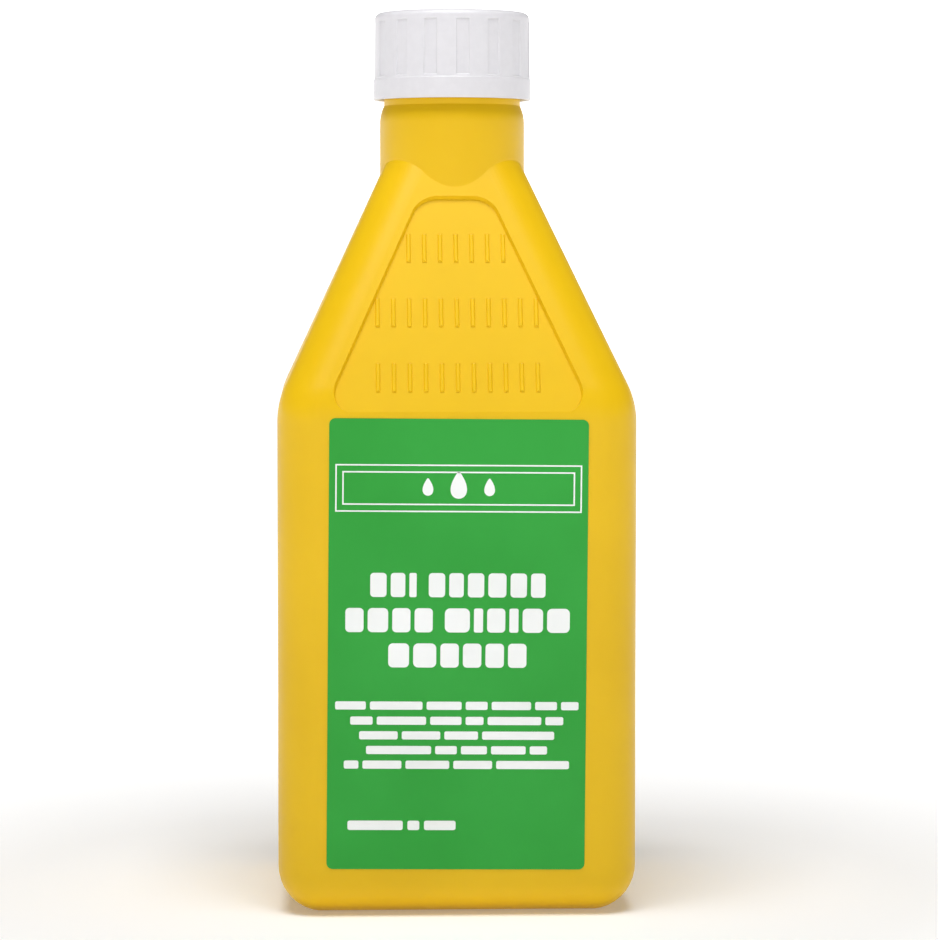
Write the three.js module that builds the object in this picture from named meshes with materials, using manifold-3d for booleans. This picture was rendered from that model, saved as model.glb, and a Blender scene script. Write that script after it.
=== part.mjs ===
// Fuel mixing bottle for one litre: a nearly square blow-moulded bottle that tapers to a round neck, with a
// fluted screw cap, the liner that seals it, and a label on the front face.
// Millimetres, +Z up, the front faces -Y, and the origin is the middle of the base.
import * as THREE from "three";
import { mergeVertices } from "three/addons/utils/BufferGeometryUtils.js";
import Module from "manifold-3d";

const wasm = await Module();
wasm.setup();

// Body of the bottle
const bodyWidth = 88.3; // along X
const bodyDepth = 85.7; // along Y
const cornerRadius = 10.3; // upright corners, seen from above
const heelRadius = 11.5; // edge between the walls and the base
const wall = 1.2; // blown wall
const foldHeight = 125.8; // where the lines of the wall and the shoulder cross
const foldRadius = 21.8; // rounding of that fold

// Shoulder and neck
const sideRise = 56.2; // fold to the place where the side faces run into the neck
const frontRise = 53; // the same for the front and back faces, which meet the neck lower down
const neckDiameter = 36.6;
const neckWall = 1.5;
const neckLength = 13; // straight neck above the side faces
const neckRoundRadius = 10; // rounding from the neck in to the finish

// Sunk panel on the front and back of the shoulder
const panelMargin = 11.5; // from the shoulder's side edge to the panel's
const panelTopGap = 2.3; // from the neck down to the panel
const panelDrop = 3.9; // how far the panel's outline reaches below the fold
const panelDepth = 1.5;
const panelDraft = 0.8; // how far its edge slopes in on the way down
const panelTopRadius = 6.5;
const panelBottomRadius = 6.5;

// Base
const standingRim = 5; // flat ring that the bottle stands on
const pushUp = 3; // how far the middle of the base is raised
const pushUpDraft = 3; // how far its edge slopes in
const pushUpRadius = 8;
const baseWall = 1.5;
const weldWidth = 1.4; // ridge where the mould pinched the tube shut
const weldHeight = 0.6;

// Level marks moulded on the back
const markStep = 100; // millilitres
const markCount = 10;
const markLength = 12;
const longMarkLength = 20; // every fifth one
const markWidth = 1.6;

// Rows of upright grip ribs in the front panel, each row given by its rise above the fold
const ribRows = [
  { rise: 37.7, count: 7 },
  { rise: 21.9, count: 11 },
  { rise: 6.2, count: 11 },
];
const ribPitch = 3.9;
const ribLength = 8;
const ribWidth = 1.5;
const relief = 0.4; // height of the marks and the ribs
const reliefDraft = 0.35; // how far their sides slope in

// Threaded finish
const finishDiameter = 34.5; // between the threads
const finishHeight = 20.4;
const boreDiameter = 31;
const lipChamfer = 0.5;
const threadPitch = 4.233; // six turns to the inch
const threadHeight = 1.1;
const threadRootWidth = 2.3;
const threadCrestWidth = 1.1;
const threadTurns = 2;
const threadBelowLip = 2; // from the lip to the middle of the thread's upper end

// Cap
const threadClearance = 0.3; // round the neck's thread
const capThreadHeight = 0.95;
const capThreadRootWidth = 1.5;
const capThreadCrestWidth = 0.7;
const capThreadTurns = 1.6;
const capThreadLead = 0.25; // turns by which the cap's thread starts before the neck's
const capWall = 0.65; // behind the flutes
const capTop = 1.5; // thickness at the edge of the ceiling
const capDome = 0.6; // rise of the crown's middle
const capCrownRadius = 2.5;
const capDraft = 0.2; // by which the cap narrows towards its crown
const capRimGap = 1.45; // finish that shows between the neck and the cap
const capRimChamfer = 0.4;
const bandHeight = 5.3; // plain band round the cap's foot
const bandStep = 0.17; // by which it stands proud of the flutes' lands
const fluteCount = 15;
const fluteWidth = 3.9;
const fluteDepth = 0.45;
const fluteRunOut = 0.7; // length of the slope at each end
const fluteStart = THREE.MathUtils.degToRad(11.8); // where the first flute stands when the cap is tight

// Liner and label
const linerThickness = 1.4;
const linerClearance = 0.25; // to the cap's wall
const seatGap = 0.05; // between the liner and what it is pressed against
const labelSideMargin = 2.3; // from the label to the end of the flat face
const labelTopRise = 1.1; // by which it reaches on to the start of the fold
const labelBottomMargin = 0.4; // above the heel
const labelOffset = -0.3; // from the middle of the face
const labelCornerRadius = 1.5;
const labelThickness = 0.12;
const labelGlue = 0.03;
const labelTurn = THREE.MathUtils.degToRad(0.48); // it was stuck on slightly askew

// Fineness of the curves
const cornerSteps = 8;
const heelSteps = 7;
const foldSteps = 6;
const roundSteps = 72;
const arcSteps = 6;
const threadStepsPerTurn = 48;
const threadTaper = 0.12; // turns over which a thread's end fades away
const sunk = 0.5; // how deep a ridge is rooted in the wall that carries it
const beyond = 2; // how far a cutting shape reaches past what it cuts

// Sizes that follow from those above
const neckRadius = neckDiameter / 2;
const finishRadius = finishDiameter / 2;
const boreRadius = boreDiameter / 2;
const sideLean = Math.atan((bodyWidth / 2 - neckRadius) / sideRise);
const frontLean = Math.atan((bodyDepth / 2 - neckRadius) / frontRise);
const neckRoundStart = foldHeight + sideRise + neckLength;
const neckStep = neckRadius - finishRadius;
const finishStart = neckRoundStart + Math.sqrt(neckRoundRadius ** 2 - (neckRoundRadius - neckStep) ** 2);
const lipHeight = finishStart + finishHeight;
const threadRadius = finishRadius + threadHeight;
const threadStart = lipHeight - threadBelowLip - threadTurns * threadPitch;
const capBoreRadius = threadRadius + threadClearance;
const capThreadRadius = capBoreRadius - capThreadHeight;
const fluteFloorRadius = capBoreRadius + capWall;
const landRadius = fluteFloorRadius + fluteDepth;
const capRim = finishStart + capRimGap;
const ceilingHeight = lipHeight + seatGap + linerThickness + seatGap;
const crownHeight = ceilingHeight + capTop;

// A closed solid from a stack of rings of points. Seen from the last ring, each ring runs anticlockwise.
function loft(rings) {
  const count = rings[0].length;
  const last = (rings.length - 1) * count;
  const index = [];
  for (let ring = 0; ring < last; ring += count) {
    for (let i = 0; i < count; i++) {
      const next = (i + 1) % count;
      index.push(ring + i, ring + next, ring + count + next);
      index.push(ring + i, ring + count + next, ring + count + i);
    }
  }
  for (let i = 1; i + 1 < count; i++) {
    index.push(0, i + 1, i);
    index.push(last, last + i, last + i + 1);
  }
  const geometry = new THREE.BufferGeometry().setFromPoints(rings.flat());
  geometry.setIndex(index);
  return geometry;
}

// A solid turned about Z from points (radius, height), given upwards along its outside.
function turned(points) {
  return new THREE.LatheGeometry(points, roundSteps).rotateX(Math.PI / 2);
}

// Points on an arc in the plane of a turned solid's profile.
function arc(centreX, centreY, radius, from, to) {
  const points = [];
  for (let i = 0; i <= arcSteps; i++) {
    const angle = from + ((to - from) * i) / arcSteps;
    points.push(new THREE.Vector2(centreX + radius * Math.cos(angle), centreY + radius * Math.sin(angle)));
  }
  return points;
}

function solidOf(geometry) {
  const plain = geometry.clone();
  plain.deleteAttribute("normal");
  plain.deleteAttribute("uv");
  const merged = mergeVertices(plain, 1e-4);
  return new wasm.Manifold(
    new wasm.Mesh({
      numProp: 3,
      vertProperties: merged.attributes.position.array,
      triVerts: new Uint32Array(merged.index.array),
    }),
  );
}

function geometryOf(solid) {
  const { vertProperties, triVerts } = solid.getMesh();
  const geometry = new THREE.BufferGeometry();
  geometry.setAttribute("position", new THREE.BufferAttribute(vertProperties, 3));
  geometry.setIndex(new THREE.BufferAttribute(triVerts, 1));
  return geometry.toNonIndexed();
}

// The points of a convex outline, anticlockwise, with its edges moved in by inset and its corners rounded.
function roundedOutline(corners, inset) {
  const points = [];
  corners.forEach(({ x, y, radius }, i) => {
    const here = new THREE.Vector2(x, y);
    const before = corners.at(i - 1);
    const after = corners[(i + 1) % corners.length];
    const back = new THREE.Vector2(before.x, before.y).sub(here).normalize();
    const on = new THREE.Vector2(after.x, after.y).sub(here).normalize();
    const inwards = back.clone().add(on).normalize();
    const halfAngle = Math.acos(inwards.dot(on));
    const centre = here.clone().addScaledVector(inwards, radius / Math.sin(halfAngle));
    const turn = Math.PI - 2 * halfAngle;
    const start = inwards.angle() + Math.PI - turn / 2;
    for (let step = 0; step <= cornerSteps; step++) {
      const angle = start + (turn * step) / cornerSteps;
      const spoke = new THREE.Vector2(Math.cos(angle), Math.sin(angle));
      points.push(centre.clone().addScaledVector(spoke, radius - inset));
    }
  });
  return points;
}

function rectangle(halfWidth, halfDepth, radius) {
  return [
    { x: halfWidth, y: halfDepth, radius },
    { x: -halfWidth, y: halfDepth, radius },
    { x: -halfWidth, y: -halfDepth, radius },
    { x: halfWidth, y: -halfDepth, radius },
  ];
}

const at = (outline, z) => outline.map(({ x, y }) => new THREE.Vector3(x, y, z));

// How far in from the body's widest line a wall lies at height z: round the heel, up the straight wall, round
// the fold and along the leaning shoulder. A skin inside the wall shares the outer one's arc centres.
function wallInset(z, lean, skin) {
  const heel = heelRadius - skin;
  if (z < heelRadius) return heelRadius - Math.sqrt(Math.max(0, heel ** 2 - (heelRadius - z) ** 2));
  const fold = foldRadius - skin;
  const rise = z - foldHeight + foldRadius * Math.tan(lean / 2);
  if (rise <= 0) return skin;
  const foldEnd = fold * Math.sin(lean);
  if (rise <= foldEnd) return foldRadius - Math.sqrt(fold ** 2 - rise ** 2);
  return foldRadius - fold * Math.cos(lean) + (rise - foldEnd) * Math.tan(lean);
}

// The body and shoulder as one solid, whose skin lies the given distance inside the outer surface.
function bodyForm(skin) {
  const heights = [];
  for (let i = 0; i <= heelSteps; i++)
    heights.push(heelRadius - (heelRadius - skin) * Math.cos((Math.PI / 2) * (i / heelSteps)));
  const foldStart = foldHeight - foldRadius * Math.tan(sideLean / 2);
  for (let i = 0; i <= foldSteps; i++)
    heights.push(foldStart + foldRadius * Math.sin(sideLean) * (i / foldSteps));
  const topHalfDepth = cornerRadius + beyond;
  heights.push(foldHeight + (bodyDepth / 2 - topHalfDepth) / Math.tan(frontLean));
  return solidOf(
    loft(
      heights.map((z) => {
        const side = wallInset(z, sideLean, skin);
        const front = wallInset(z, frontLean, skin);
        const radius = cornerRadius - (z < heelRadius ? side : skin);
        return at(roundedOutline(rectangle(bodyWidth / 2 - side, bodyDepth / 2 - front, radius), 0), z);
      }),
    ),
  );
}

// The shoulder's sunk panel as a solid that reaches out from its floor. Growing it by a wall's thickness makes
// the form that keeps the wall whole behind it.
function panelForm(growth) {
  const topHeight = foldHeight + frontRise - panelTopGap;
  const bottomHeight = foldHeight - panelDrop;
  const halfWidthAt = (z) => bodyWidth / 2 - panelMargin - (z - foldHeight) * Math.tan(sideLean);
  const along = (z) => (z - foldHeight) / Math.cos(frontLean);
  const corners = [
    { x: -halfWidthAt(bottomHeight), y: along(bottomHeight), radius: panelBottomRadius },
    { x: halfWidthAt(bottomHeight), y: along(bottomHeight), radius: panelBottomRadius },
    { x: halfWidthAt(topHeight), y: along(topHeight), radius: panelTopRadius },
    { x: -halfWidthAt(topHeight), y: along(topHeight), radius: panelTopRadius },
  ];
  const floor = -panelDepth - growth;
  const slope = panelDraft / panelDepth;
  const ring = (height) => at(roundedOutline(corners, -height * slope - growth), height);
  return loft([ring(floor), ring(beyond)])
    .rotateX(Math.PI / 2 - frontLean)
    .translate(0, -bodyDepth / 2, foldHeight);
}

// The raised middle of the base, grown in the same way.
function pushUpForm(growth) {
  const halfWidth = bodyWidth / 2 - heelRadius - standingRim;
  const halfDepth = bodyDepth / 2 - heelRadius - standingRim;
  const outline = rectangle(halfWidth, halfDepth, pushUpRadius);
  const slope = pushUpDraft / pushUp;
  const ring = (z) => at(roundedOutline(outline, (z - growth) * slope - growth), z);
  return loft([ring(-beyond), ring(pushUp + growth)]);
}

function neckForm() {
  const low = foldHeight + frontRise - panelTopGap;
  const centreX = neckRadius - neckRoundRadius;
  const end = Math.acos((finishRadius - centreX) / neckRoundRadius);
  return turned([
    new THREE.Vector2(0, low),
    new THREE.Vector2(neckRadius, low),
    ...arc(centreX, neckRoundStart, neckRoundRadius, 0, end),
    new THREE.Vector2(finishRadius, lipHeight - lipChamfer),
    new THREE.Vector2(finishRadius - lipChamfer, lipHeight),
    new THREE.Vector2(0, lipHeight),
  ]);
}

function boreForm() {
  const low = foldHeight + frontRise - panelTopGap - beyond;
  const neckBore = neckRadius - neckWall;
  return turned([
    new THREE.Vector2(0, low),
    new THREE.Vector2(neckBore, low),
    new THREE.Vector2(neckBore, neckRoundStart),
    new THREE.Vector2(boreRadius, finishStart),
    new THREE.Vector2(boreRadius, lipHeight + beyond),
    new THREE.Vector2(0, lipHeight + beyond),
  ]);
}

// A thread's ridge along a right-hand helix: rooted in the wall at rootRadius, standing up to crestRadius, and
// fading into the wall at both ends.
function threadRidge({ rootRadius, crestRadius, rootWidth, crestWidth, start, firstTurn, turns }) {
  const outwards = Math.sign(crestRadius - rootRadius);
  const steps = Math.round(turns * threadStepsPerTurn);
  const buried = rootRadius - outwards * sunk;
  const rings = [];
  for (let i = 0; i <= steps; i++) {
    const done = (turns * i) / steps;
    const rise = Math.min(1, done / threadTaper, (turns - done) / threadTaper);
    const crest = THREE.MathUtils.lerp(buried + outwards * 0.2, crestRadius, rise);
    const angle = 2 * Math.PI * (firstTurn + done);
    const middle = start + threadPitch * (firstTurn + done);
    const point = (radius, lift) =>
      new THREE.Vector3(radius * Math.cos(angle), radius * Math.sin(angle), middle + lift);
    const ring = [
      point(buried, -rootWidth / 2),
      point(crest, -crestWidth / 2),
      point(crest, crestWidth / 2),
      point(buried, rootWidth / 2),
    ];
    rings.push(outwards > 0 ? ring.reverse() : ring);
  }
  return solidOf(loft(rings));
}

// The height at which the bottle holds this many millilitres.
function fillHeight(cavity, millilitres) {
  let low = 0;
  let high = lipHeight;
  while (high - low > 0.01) {
    const middle = (low + high) / 2;
    const held = cavity.trimByPlane([0, 0, -1], -middle).volume() / 1000;
    if (held < millilitres) low = middle;
    else high = middle;
  }
  return low;
}

// A low bar with sloping sides that lies along X on a wall facing +Y.
function raisedBar(length, width) {
  const section = new THREE.Shape([
    new THREE.Vector2(-sunk, -width / 2),
    new THREE.Vector2(relief, reliefDraft - width / 2),
    new THREE.Vector2(relief, width / 2 - reliefDraft),
    new THREE.Vector2(-sunk, width / 2),
  ]);
  return new THREE.ExtrudeGeometry(section, { depth: length, bevelEnabled: false })
    .translate(0, 0, -length / 2)
    .rotateX(Math.PI / 2)
    .rotateZ(Math.PI / 2);
}

// How far the floor of the back panel lies from the bottle's axis.
function panelFloor(z) {
  return bodyDepth / 2 - (z - foldHeight) * Math.tan(frontLean) - panelDepth / Math.cos(frontLean);
}

// One level mark on the back, on the wall or on the floor of the sunk panel.
function levelMark(z, length) {
  const wallPlace = bodyDepth / 2 - wallInset(z, frontLean, 0);
  const inPanel = panelFloor(z) < wallPlace;
  return raisedBar(length, markWidth)
    .rotateX(inPanel ? frontLean : 0)
    .translate(0, inPanel ? panelFloor(z) : wallPlace, z);
}

function gripRib(x, z) {
  return raisedBar(ribLength, ribWidth)
    .rotateY(Math.PI / 2)
    .rotateX(frontLean)
    .translate(x, panelFloor(z), z)
    .rotateZ(Math.PI);
}

function bottleGeometry() {
  const backPanel = panelForm(0).rotateZ(Math.PI);
  const backPanelInside = panelForm(wall).rotateZ(Math.PI);
  const cavity = bodyForm(wall)
    .add(solidOf(boreForm()))
    .subtract(solidOf(panelForm(wall)))
    .subtract(solidOf(backPanelInside))
    .subtract(solidOf(pushUpForm(baseWall)));
  let bottle = bodyForm(0)
    .add(solidOf(neckForm()))
    .subtract(solidOf(panelForm(0)))
    .subtract(solidOf(backPanel))
    .subtract(solidOf(pushUpForm(0)));
  const weldLength = bodyWidth - 2 * (heelRadius + standingRim + pushUpDraft);
  const weld = new THREE.BoxGeometry(weldLength, weldWidth, weldHeight + sunk);
  weld.translate(0, 0, pushUp + (sunk - weldHeight) / 2);
  bottle = bottle.add(solidOf(weld));
  for (let mark = 1; mark <= markCount; mark++) {
    const length = mark % 5 === 0 ? longMarkLength : markLength;
    bottle = bottle.add(solidOf(levelMark(fillHeight(cavity, mark * markStep), length)));
  }
  for (const { rise, count } of ribRows) {
    for (let i = 0; i < count; i++)
      bottle = bottle.add(solidOf(gripRib((i - (count - 1) / 2) * ribPitch, foldHeight + rise)));
  }
  const thread = threadRidge({
    rootRadius: finishRadius,
    crestRadius: threadRadius,
    rootWidth: threadRootWidth,
    crestWidth: threadCrestWidth,
    start: threadStart,
    firstTurn: 0,
    turns: threadTurns,
  });
  return geometryOf(bottle.add(thread).subtract(cavity));
}

// The cap's shell, with its ceiling over the liner and the plain band at its foot.
function capShell() {
  const crownStart = crownHeight - capCrownRadius;
  const topLand = landRadius - capDraft;
  const crownX = topLand - capCrownRadius;
  const bandTop = capRim + bandHeight;
  return turned([
    new THREE.Vector2(0, ceilingHeight),
    new THREE.Vector2(capBoreRadius, ceilingHeight),
    new THREE.Vector2(capBoreRadius, capRim + capRimChamfer),
    new THREE.Vector2(capBoreRadius + capRimChamfer, capRim),
    new THREE.Vector2(landRadius + bandStep - capRimChamfer / 2, capRim),
    new THREE.Vector2(landRadius + bandStep, capRim + capRimChamfer / 2),
    new THREE.Vector2(landRadius + bandStep, bandTop - bandStep),
    new THREE.Vector2(landRadius, bandTop),
    ...arc(crownX, crownStart, capCrownRadius, 0, Math.PI / 2),
    new THREE.Vector2(crownX / 2, crownHeight + capDome * 0.75),
    new THREE.Vector2(0, crownHeight + capDome),
  ]);
}

// One flute's cutting shape: a slice of a ring whose inner wall is the flute's floor, sloping out at both ends.
function fluteForm(middle) {
  const bottom = capRim + bandHeight;
  const top = crownHeight - capCrownRadius;
  const open = landRadius + bandStep;
  const profile = [
    [open, bottom - bandStep],
    [open + beyond, bottom - bandStep],
    [open + beyond, top],
    [open, top],
    [fluteFloorRadius, top - fluteRunOut],
    [fluteFloorRadius, bottom + fluteRunOut - bandStep],
  ];
  const halfAngle = fluteWidth / 2 / landRadius;
  const steps = 2;
  const rings = [];
  for (let i = 0; i <= steps; i++) {
    const angle = middle + halfAngle * ((2 * i) / steps - 1);
    rings.push(profile.map(([r, z]) => new THREE.Vector3(r * Math.cos(angle), r * Math.sin(angle), z)).reverse());
  }
  return loft(rings);
}

// The cap's thread lies just under the neck's, where tightening the cap has pressed it.
function capThread() {
  const slope = (threadRootWidth - threadCrestWidth) / 2 / threadHeight;
  const neckHalfWidth = threadCrestWidth / 2 + (threadRadius - capThreadRadius) * slope;
  const drop = neckHalfWidth + capThreadCrestWidth / 2 + threadClearance;
  return threadRidge({
    rootRadius: capBoreRadius,
    crestRadius: capThreadRadius,
    rootWidth: capThreadRootWidth,
    crestWidth: capThreadCrestWidth,
    start: threadStart - drop,
    firstTurn: -capThreadLead,
    turns: capThreadTurns,
  });
}

function capGeometry() {
  let cap = solidOf(capShell()).add(capThread());
  for (let i = 0; i < fluteCount; i++)
    cap = cap.subtract(solidOf(fluteForm(fluteStart + (2 * Math.PI * i) / fluteCount)));
  return geometryOf(cap);
}

function linerGeometry() {
  const radius = capBoreRadius - linerClearance;
  return turned([
    new THREE.Vector2(0, 0),
    new THREE.Vector2(radius, 0),
    new THREE.Vector2(radius, linerThickness),
    new THREE.Vector2(0, linerThickness),
  ]);
}

function labelGeometry(width, height) {
  const outline = roundedOutline(rectangle(width / 2, height / 2, labelCornerRadius), 0);
  return new THREE.ExtrudeGeometry(new THREE.Shape(outline), { depth: labelThickness, bevelEnabled: false })
    .rotateX(Math.PI / 2);
}

function piece(name, geometry, material) {
  const mesh = new THREE.Mesh(geometry, new THREE.MeshStandardMaterial(material));
  mesh.name = name;
  return mesh;
}

const yellowPlastic = { color: 0xf0b81c, roughness: 0.42, metalness: 0 };
const whitePlastic = { color: 0xeeedf0, roughness: 0.38, metalness: 0 };
const whiteFoam = { color: 0xf4f3ee, roughness: 0.9, metalness: 0 };
const greenPrint = { color: 0x35a04a, roughness: 0.35, metalness: 0 };

const bottle = piece("bottle", bottleGeometry(), yellowPlastic);

const cap = piece("screw_cap", capGeometry(), whitePlastic);

const liner = piece("cap_liner", linerGeometry(), whiteFoam);
liner.position.z = lipHeight + seatGap;

const flatTop = foldHeight - foldRadius * Math.tan(sideLean / 2);
const labelWidth = bodyWidth - 2 * (cornerRadius + labelSideMargin);
const labelHeight = flatTop + labelTopRise - heelRadius - labelBottomMargin;
const label = piece("front_label", labelGeometry(labelWidth, labelHeight), greenPrint);
label.position.set(labelOffset, -bodyDepth / 2 - labelGlue, heelRadius + labelBottomMargin + labelHeight / 2);
label.rotation.y = labelTurn;

const assembly = new THREE.Group();
assembly.add(bottle, cap, liner, label);
export default assembly;
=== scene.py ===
import math

import bpy
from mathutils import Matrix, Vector


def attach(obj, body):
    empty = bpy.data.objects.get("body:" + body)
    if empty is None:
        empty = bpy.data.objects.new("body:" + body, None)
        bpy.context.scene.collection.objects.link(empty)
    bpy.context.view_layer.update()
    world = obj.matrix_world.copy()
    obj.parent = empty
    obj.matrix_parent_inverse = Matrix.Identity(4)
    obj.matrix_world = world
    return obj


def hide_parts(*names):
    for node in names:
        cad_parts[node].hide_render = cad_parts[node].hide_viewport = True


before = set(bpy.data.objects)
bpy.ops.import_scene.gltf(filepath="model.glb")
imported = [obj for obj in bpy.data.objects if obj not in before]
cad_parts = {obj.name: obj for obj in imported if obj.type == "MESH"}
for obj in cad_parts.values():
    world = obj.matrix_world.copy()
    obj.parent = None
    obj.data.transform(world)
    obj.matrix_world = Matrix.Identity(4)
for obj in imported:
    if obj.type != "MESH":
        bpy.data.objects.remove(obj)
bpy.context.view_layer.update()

mm = 0.001
slack = 0.001 * mm  # points closer than this count as one
overshoot = 1 * mm  # how far a turned cutting shape stands out of what it cuts
imageWidth = 938  # the photograph's frame, in pixels
imageHeight = 940


# Small helpers for working the way one does by hand
def deselectEverything():
    if bpy.context.object and bpy.context.object.mode != "OBJECT":
        bpy.ops.object.mode_set(mode="OBJECT")
    bpy.ops.object.select_all(action="DESELECT")


def onlySelect(piece):
    deselectEverything()
    piece.select_set(True)
    bpy.context.view_layer.objects.active = piece


def newest(name):
    piece = bpy.context.active_object
    piece.name = name
    piece.data.name = name
    return piece


def editing(piece, kind="VERT"):
    onlySelect(piece)
    bpy.ops.object.mode_set(mode="EDIT")
    bpy.ops.mesh.select_mode(type=kind)
    bpy.ops.mesh.select_all(action="DESELECT")


def doneEditing():
    bpy.ops.object.mode_set(mode="OBJECT")


def pickVerts(piece, test):
    bpy.ops.object.mode_set(mode="OBJECT")
    for vertex in piece.data.vertices:
        vertex.select = test(vertex.co)
    for edge in piece.data.edges:
        edge.select = all(piece.data.vertices[i].select for i in edge.vertices)
    for face in piece.data.polygons:
        face.select = all(piece.data.vertices[i].select for i in face.vertices)
    bpy.ops.object.mode_set(mode="EDIT")


def pickFaces(piece, test):
    bpy.ops.object.mode_set(mode="OBJECT")
    for vertex in piece.data.vertices:
        vertex.select = False
    for edge in piece.data.edges:
        edge.select = False
    for face in piece.data.polygons:
        face.select = test(face.center, face.normal)
    bpy.ops.object.mode_set(mode="EDIT")


def pickEdges(piece, test):
    bpy.ops.object.mode_set(mode="OBJECT")
    spots = piece.data.vertices
    for vertex in spots:
        vertex.select = False
    for face in piece.data.polygons:
        face.select = False
    for edge in piece.data.edges:
        edge.select = test(spots[edge.vertices[0]].co, spots[edge.vertices[1]].co)
    bpy.ops.object.mode_set(mode="EDIT")


def nearlyEqual(a, b):
    return abs(a - b) < slack


def selectAll():
    bpy.ops.mesh.select_all(action="SELECT")


def extrudeUp(rise):
    bpy.ops.mesh.extrude_region_move(TRANSFORM_OT_translate={"value": (0, 0, rise)})


def roundCorners(radius, segments):
    bpy.ops.mesh.bevel(affect="VERTICES", offset=radius, segments=segments, profile=0.5)


def roundEdges(radius, segments):
    bpy.ops.mesh.bevel(offset=radius, segments=segments, profile=0.5)


def useModifier(piece, kind, **settings):
    onlySelect(piece)
    modifier = piece.modifiers.new(kind.title(), kind)
    for name, value in settings.items():
        setattr(modifier, name, value)
    bpy.ops.object.modifier_apply(modifier=modifier.name)


def combine(piece, tool, how):
    useModifier(piece, "BOOLEAN", object=tool, operation=how, solver="EXACT")
    bpy.data.objects.remove(tool)


def bakePlace(piece):
    onlySelect(piece)
    bpy.ops.object.transform_apply(location=True, rotation=True, scale=True)


def smoothShade(piece, degrees):
    onlySelect(piece)
    bpy.ops.object.shade_smooth_by_angle(angle=math.radians(degrees))
    useModifier(piece, "WEIGHTED_NORMAL", mode="FACE_AREA", weight=90, keep_sharp=True)


def tidyMesh(piece):
    editing(piece)
    selectAll()
    bpy.ops.mesh.remove_doubles(threshold=slack)
    bpy.ops.mesh.normals_make_consistent(inside=False)
    doneEditing()


def joinPieces(pieces, name):
    deselectEverything()
    for piece in pieces:
        piece.select_set(True)
    bpy.context.view_layer.objects.active = pieces[0]
    bpy.ops.object.join()
    return newest(name)


# Camera
print("camera")
cameraPlace = {
    "distance": 893 * mm,
    "turn": -2.18,  # degrees; negative stands to the left of the front
    "lift": 3.28,
    "aimHeight": 112 * mm,
    "axisPixel": (452.0, 450.5),  # where the bottle's axis at the aim height falls in the picture
    "pixelsPerMm": 3.92,
    "sensor": 36,  # millimetres
    "nearest": 10 * mm,
}


def addCamera():
    turn = math.radians(cameraPlace["turn"])
    lift = math.radians(cameraPlace["lift"])
    back = Vector((math.sin(turn) * math.cos(lift), -math.cos(turn) * math.cos(lift), math.sin(lift)))
    place = Vector((0, 0, cameraPlace["aimHeight"])) + back * cameraPlace["distance"]
    bpy.ops.object.camera_add(location=place, rotation=back.to_track_quat("Z", "Y").to_euler())
    camera = bpy.context.object
    camera.name = "photoCamera"
    longSide = max(imageWidth, imageHeight)
    pixelSize = mm / cameraPlace["pixelsPerMm"]  # at the axis
    camera.data.sensor_width = cameraPlace["sensor"]
    camera.data.lens = cameraPlace["sensor"] * cameraPlace["distance"] / (longSide * pixelSize)
    camera.data.shift_x = (imageWidth / 2 - cameraPlace["axisPixel"][0]) / longSide
    camera.data.shift_y = (cameraPlace["axisPixel"][1] - imageHeight / 2) / longSide
    camera.data.clip_start = cameraPlace["nearest"]
    bpy.context.scene.camera = camera


addCamera()


# Bottle
print("bottle")
bottleSizes = {
    "width": 88.3 * mm,
    "depth": 85.7 * mm,
    "cornerRadius": 10.3 * mm,
    "heelRadius": 11.5 * mm,
    "foldHeight": 125.8 * mm,
    "foldRadius": 21.8 * mm,
    "sideRise": 56.2 * mm,
    "frontRise": 53 * mm,
    "neckRadius": 18.3 * mm,
    "neckLength": 13 * mm,
    "neckRound": 10 * mm,
    "finishRadius": 17.25 * mm,
    "finishHeight": 20.4 * mm,
    "boreRadius": 15.5 * mm,
    "wall": 1.2 * mm,
    "neckWall": 1.5 * mm,
    "lipRadius": 0.6 * mm,
    "mouthChamfer": 0.5 * mm,
    "boreOverlap": 2 * mm,
    "topFlat": 2 * mm,  # half the straight side left where the shoulders end
    "cornerSegments": 14,
    "heelSegments": 10,
    "smallestCorner": 0.3 * mm,
    "foldSteps": 12,
    "neckSteps": 10,
    "lipSteps": 8,
    "roundSegments": 128,
    "shadeAngle": 14,
}
sideLean = math.atan((bottleSizes["width"] / 2 - bottleSizes["neckRadius"]) / bottleSizes["sideRise"])
frontLean = math.atan((bottleSizes["depth"] / 2 - bottleSizes["neckRadius"]) / bottleSizes["frontRise"])
foldStart = bottleSizes["foldHeight"] - bottleSizes["foldRadius"] * math.tan(sideLean / 2)
neckRoundStart = bottleSizes["foldHeight"] + bottleSizes["sideRise"] + bottleSizes["neckLength"]
neckStep = bottleSizes["neckRadius"] - bottleSizes["finishRadius"]
finishStart = neckRoundStart + math.sqrt(
    bottleSizes["neckRound"] ** 2 - (bottleSizes["neckRound"] - neckStep) ** 2
)
lipHeight = finishStart + bottleSizes["finishHeight"]


def shoulderInset(z, lean, skin):
    radius = bottleSizes["foldRadius"]
    rise = z - bottleSizes["foldHeight"] + radius * math.tan(lean / 2)
    if rise <= 0:
        return skin
    inner = radius - skin
    roundEnd = inner * math.sin(lean)
    if rise <= roundEnd:
        return radius - math.sqrt(inner**2 - rise**2)
    return radius - inner * math.cos(lean) + (rise - roundEnd) * math.tan(lean)


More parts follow.
